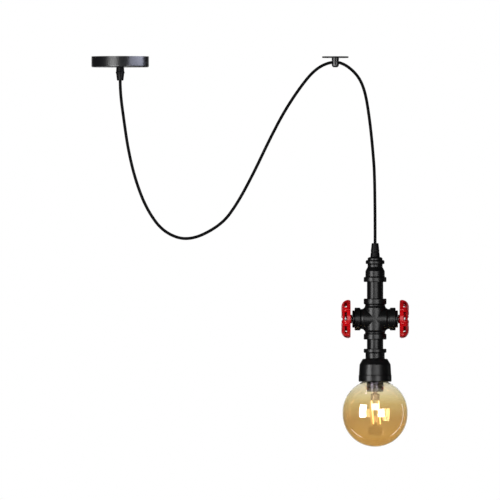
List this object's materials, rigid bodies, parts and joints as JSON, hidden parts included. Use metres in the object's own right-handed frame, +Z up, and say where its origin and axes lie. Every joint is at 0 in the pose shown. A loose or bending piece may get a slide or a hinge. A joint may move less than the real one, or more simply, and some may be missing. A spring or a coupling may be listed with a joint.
{
  "type": "ceiling lamp",
  "caption": "Ceiling lamp with a round rose, a swagged cord over a ceiling holder, and a pendant of black pipe fittings with two red handwheels and an amber globe bulb.",
  "frame": {"origin": "centre of the rose bracket's slot pattern, on the ceiling face", "axes": "+Z up into the ceiling, +X from the rose towards the ceiling holder and the pendant, +Y away from the viewer"},
  "size_m": [0.5237, 0.1076, 0.6442],
  "materials": {
    "black_enamel": "gloss black enamel",
    "black_nylon": "satin moulded black",
    "zinc_steel": "zinc plated",
    "block_plastic": "off-white moulded",
    "brass": "plain brass",
    "black_cord": "black braided sleeve",
    "core_sleeve": "insulated core",
    "cast_black": "satin black cast iron",
    "pipe_black": "satin black pipe",
    "red_enamel": "gloss red enamel",
    "holder_moulding": "black heat-resisting moulding",
    "amber_glass": "amber tinted glass",
    "nickel": "nickel plated",
    "black_glass": "black glass",
    "solder": "tinned",
    "dark_metal": "dark gloss",
    "stem_glass": "smoky glass",
    "filament": "warm yellow coated rod"
  },
  "bodies": {
    "root": {"rose_cover": "black_enamel", "rose_bracket": "zinc_steel", "rose_side_screws": "zinc_steel", "earth_screw": "zinc_steel", "block_screws": "zinc_steel", "terminal_block": "block_plastic", "terminal_tubes": "brass", "terminal_screws": "brass", "rose_grip_body": "black_nylon", "rose_grip_nut": "black_nylon", "rose_lock_nut": "zinc_steel", "rose_cord_end": "black_cord", "rose_cores": "core_sleeve", "holder_plate": "black_enamel", "holder_post": "black_enamel", "holder_grub_screw": "zinc_steel", "holder_plate_screw": "zinc_steel", "swag_cord": "black_cord", "arch_cord": "black_cord"},
    "cord_link": {"link_cord": "black_cord"},
    "cord_drop": {"drop_cord": "black_cord"},
    "pendant": {"pendant_grip_body": "black_nylon", "pendant_grip_nut": "black_nylon", "top_bush": "cast_black", "top_reducer": "cast_black", "upper_nipple": "pipe_black", "pipe_cross": "cast_black", "lower_nipple": "pipe_black", "left_plug": "cast_black", "right_plug": "cast_black", "left_spindle": "zinc_steel", "right_spindle": "zinc_steel", "left_washer": "zinc_steel", "right_washer": "zinc_steel", "lamp_bell": "cast_black", "holder_disc": "zinc_steel", "stem_nut": "zinc_steel", "hollow_stem": "zinc_steel", "lampholder_housing": "holder_moulding", "screw_shell": "brass", "contact_tongue": "brass", "inner_cord": "black_cord", "pendant_cores": "core_sleeve"},
    "left_wheel": {"left_handwheel": "red_enamel"},
    "right_wheel": {"right_handwheel": "red_enamel"},
    "bulb_travel": {"bulb_contact": "solder"},
    "bulb": {"bulb_glass": "amber_glass", "bulb_cap": "nickel", "bulb_insulator": "black_glass", "bulb_collar": "dark_metal", "bulb_stem": "stem_glass", "filament_leads": "solder", "led_filaments": "filament"}
  },
  "joints": [
    {"name": "swing_side", "type": "hinge", "parent": "root", "child": "cord_link", "pos_m": [0.4206, 0, -0.236], "axis": [0, -1, 0], "range_deg": [-25, 25], "deforming": ["link_cord"]},
    {"name": "swing_front", "type": "hinge", "parent": "cord_link", "child": "cord_drop", "pos_m": [0.4206, 0, -0.248], "axis": [1, 0, 0], "range_deg": [-25, 25]},
    {"name": "pendant_twist", "type": "hinge", "parent": "cord_drop", "child": "pendant", "pos_m": [0.4206, 0, -0.308], "axis": [0, 0, 1], "range_deg": [-180, 180]},
    {"name": "left_wheel_turn", "type": "hinge", "parent": "pendant", "child": "left_wheel", "pos_m": [0.4206, 0, -0.4333], "axis": [-1, 0, 0], "continuous": true},
    {"name": "right_wheel_turn", "type": "hinge", "parent": "pendant", "child": "right_wheel", "pos_m": [0.4206, 0, -0.4333], "axis": [1, 0, 0], "continuous": true},
    {"name": "bulb_travel", "type": "slide", "parent": "pendant", "child": "bulb_travel", "axis": [0, 0, -1], "range_m": [0, 0.0091]},
    {"name": "bulb_turn", "type": "hinge", "parent": "bulb_travel", "child": "bulb", "pos_m": [0.4206, 0, -0.59], "axis": [0, 0, -1], "range_deg": [0, 900]}
  ],
  "couplings": [
    {"joint": "bulb_travel", "follows": "bulb_turn", "m_per_rad": 0.00057757}
  ]
}
